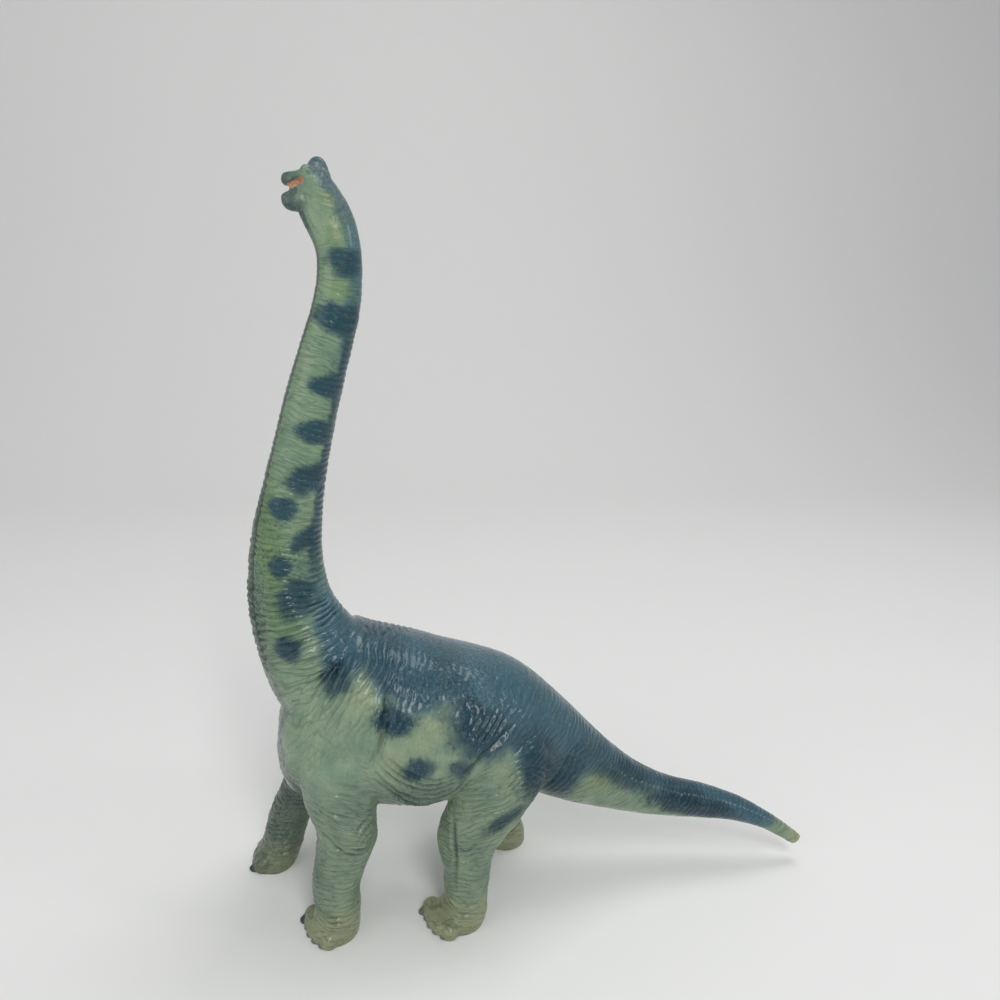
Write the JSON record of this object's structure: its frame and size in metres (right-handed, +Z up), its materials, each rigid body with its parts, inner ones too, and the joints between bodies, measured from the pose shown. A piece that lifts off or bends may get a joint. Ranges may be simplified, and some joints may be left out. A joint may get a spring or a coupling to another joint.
{
  "type": "toy dinosaur figure",
  "caption": "Long-necked dinosaur figure in a walking pose, moulded as hollow skins that plug together with keys, standing on flat soles.",
  "frame": {"origin": "on the ground between the four soles, in the middle of the figure's length and width", "axes": "+Z up, the head towards -X, the tail towards +X, the figure's left side towards -Y"},
  "size_m": [0.288, 0.0854, 0.3367],
  "materials": {
    "back_vinyl": "soft vinyl, painted blue-grey over sage green, glossy",
    "neck_vinyl": "soft vinyl, painted sage green with blue patches, glossy",
    "head_vinyl": "soft vinyl, painted blue-grey and green, glossy",
    "jaw_vinyl": "soft vinyl, painted slate blue, glossy",
    "tail_vinyl": "soft vinyl, painted slate blue, glossy",
    "leg_vinyl": "soft vinyl, painted sage green and cream, glossy"
  },
  "bodies": {
    "root": {"torso": "back_vinyl", "neck": "neck_vinyl", "head": "head_vinyl", "lower_jaw": "jaw_vinyl", "tail": "tail_vinyl", "front_left_leg": "leg_vinyl", "front_right_leg": "leg_vinyl", "hind_left_leg": "leg_vinyl", "hind_right_leg": "leg_vinyl"}
  },
  "joints": []
}
